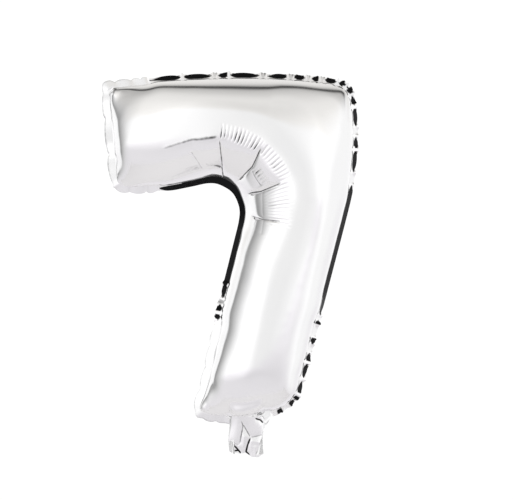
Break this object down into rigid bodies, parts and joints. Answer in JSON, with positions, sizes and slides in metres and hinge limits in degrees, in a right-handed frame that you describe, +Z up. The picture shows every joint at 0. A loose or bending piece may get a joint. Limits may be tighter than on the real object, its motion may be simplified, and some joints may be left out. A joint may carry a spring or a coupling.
{
  "type": "foil number balloon",
  "caption": "Inflated silver foil balloon shaped as the figure seven, with a welded seam round its edge and a folding filling neck below.",
  "frame": {"origin": "middle of the whole object's box, on the plane of the seam", "axes": "+Z up along the figure's height, +X to the figure's right as read, front of the figure towards -Y"},
  "size_m": [0.2424, 0.0958, 0.363],
  "materials": {
    "foil": "bright metallised film, near mirror, with soft creases",
    "weld": "bright metallised film, welded flat and puckered",
    "valve": "thin clear polyethylene film",
    "ink": "matt printed heat-resistant patch"
  },
  "bodies": {
    "envelope": {"front_panel": "foil", "back_panel": "foil", "seam_flange": "weld"},
    "neck": {"neck_front": "foil", "neck_back": "foil", "valve_inlet_front": "valve", "valve_inlet_back": "valve"},
    "valve_back": {"valve_sleeve_back": "valve", "valve_release_ink": "ink"},
    "valve_front": {"valve_sleeve_front": "valve"}
  },
  "joints": [
    {"name": "neck_fold", "type": "hinge", "parent": "envelope", "child": "neck", "pos_m": [0.0156, 0, -0.1465], "axis": [1, 0, 0], "range_deg": [-90, 90]},
    {"name": "valve_swing", "type": "hinge", "parent": "envelope", "child": "valve_back", "pos_m": [0.0156, 0, -0.1425], "axis": [1, 0, 0], "range_deg": [-20, 20], "stiffness_Nm_per_rad": 0.002},
    {"name": "valve_part", "type": "hinge", "parent": "valve_back", "child": "valve_front", "pos_m": [0.0156, 0, -0.1425], "axis": [1, 0, 0], "range_deg": [0, 5], "stiffness_Nm_per_rad": 0.002}
  ]
}
